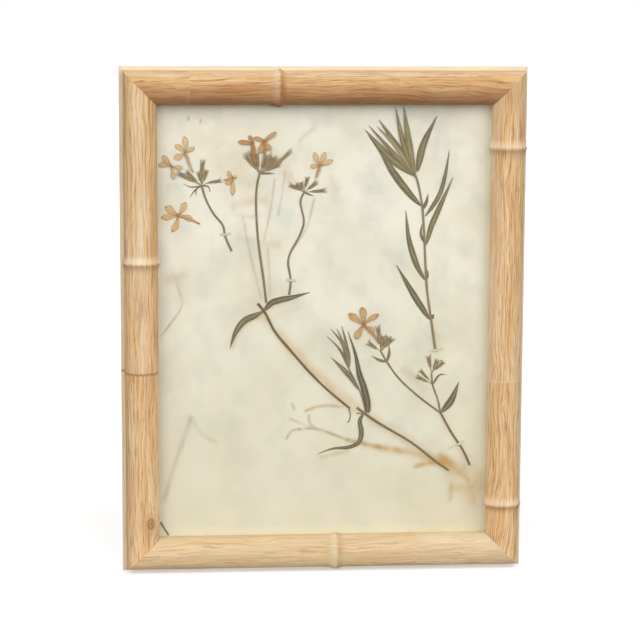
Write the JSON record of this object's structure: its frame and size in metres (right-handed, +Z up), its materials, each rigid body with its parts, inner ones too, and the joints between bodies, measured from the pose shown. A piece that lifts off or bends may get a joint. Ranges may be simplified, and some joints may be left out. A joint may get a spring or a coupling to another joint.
{
  "type": "pressed flower frame",
  "caption": "Pressed flower frame: dried wild-flower sprigs on aged paper behind glass, in a bamboo-style carved wooden frame with a sawtooth hanger.",
  "frame": {"origin": "nail point on the wall under the middle tooth of the sawtooth hanger", "axes": "+X to the viewer's right, +Y into the wall, +Z up"},
  "size_m": [0.358, 0.0313, 0.449],
  "materials": {
    "oak": "pale oak, carved, fine dark grain along the rail, satin wax",
    "glass": "clear float glass",
    "sheet_paper": "aged cream rag paper with foxing and plant stains, matte",
    "fibreboard": "brown hardboard, matte",
    "card": "cream card, matte",
    "steel": "zinc-plated steel",
    "dried_stem": "dried plant stem, olive brown, matte",
    "dried_leaf": "dried leaf, grey olive green, matte",
    "dried_petal": "dried petal, tan, papery",
    "strap_paper": "thin cream paper strap"
  },
  "bodies": {
    "root": {"rail_top_left": "oak", "rail_top_right": "oak", "rail_left_upper": "oak", "rail_left_lower": "oak", "rail_right_upper": "oak", "rail_right_lower": "oak", "rail_bottom_left": "oak", "rail_bottom_right": "oak", "glass_pane": "glass", "mount_sheet": "sheet_paper", "backing_board": "fibreboard", "spacer_top": "card", "spacer_bottom": "card", "spacer_left": "card", "spacer_right": "card", "hanger": "steel", "hanger_nail_left": "steel", "hanger_nail_right": "steel", "retaining_point_1": "steel", "retaining_point_2": "steel", "retaining_point_3": "steel", "retaining_point_4": "steel", "retaining_point_5": "steel", "retaining_point_6": "steel", "left_sprig_stem": "dried_stem", "left_sprig_flower_top": "dried_petal", "left_sprig_flower_left": "dried_petal", "left_sprig_flower_right": "dried_petal", "loose_flower": "dried_petal", "tall_sprig_stem": "dried_stem", "tall_sprig_flower_left": "dried_petal", "tall_sprig_flower_right": "dried_petal", "curved_sprig_stem": "dried_stem", "curved_sprig_flower": "dried_petal", "main_stem_upper": "dried_stem", "main_leaf_left": "dried_leaf", "main_leaf_right": "dried_leaf", "main_stem_lower": "dried_stem", "shoot_leaf_large": "dried_leaf", "shoot_leaf_small": "dried_leaf", "shoot_tuft": "dried_leaf", "drooping_leaf": "dried_leaf", "leafy_shoot_stem": "dried_stem", "leafy_shoot_leaf_1": "dried_leaf", "leafy_shoot_leaf_2": "dried_leaf", "leafy_shoot_leaf_3": "dried_leaf", "leafy_shoot_leaf_4": "dried_leaf", "leafy_shoot_leaf_5": "dried_leaf", "leafy_shoot_leaf_6": "dried_leaf", "leafy_shoot_tuft": "dried_leaf", "budded_sprig_stem": "dried_stem", "budded_sprig_flower": "dried_petal", "budded_sprig_leaf": "dried_leaf", "stem_fragment": "dried_stem", "strap_left_sprig": "strap_paper", "strap_curved_sprig": "strap_paper", "strap_leafy_shoot": "strap_paper", "strap_budded_sprig": "strap_paper"}
  },
  "joints": []
}
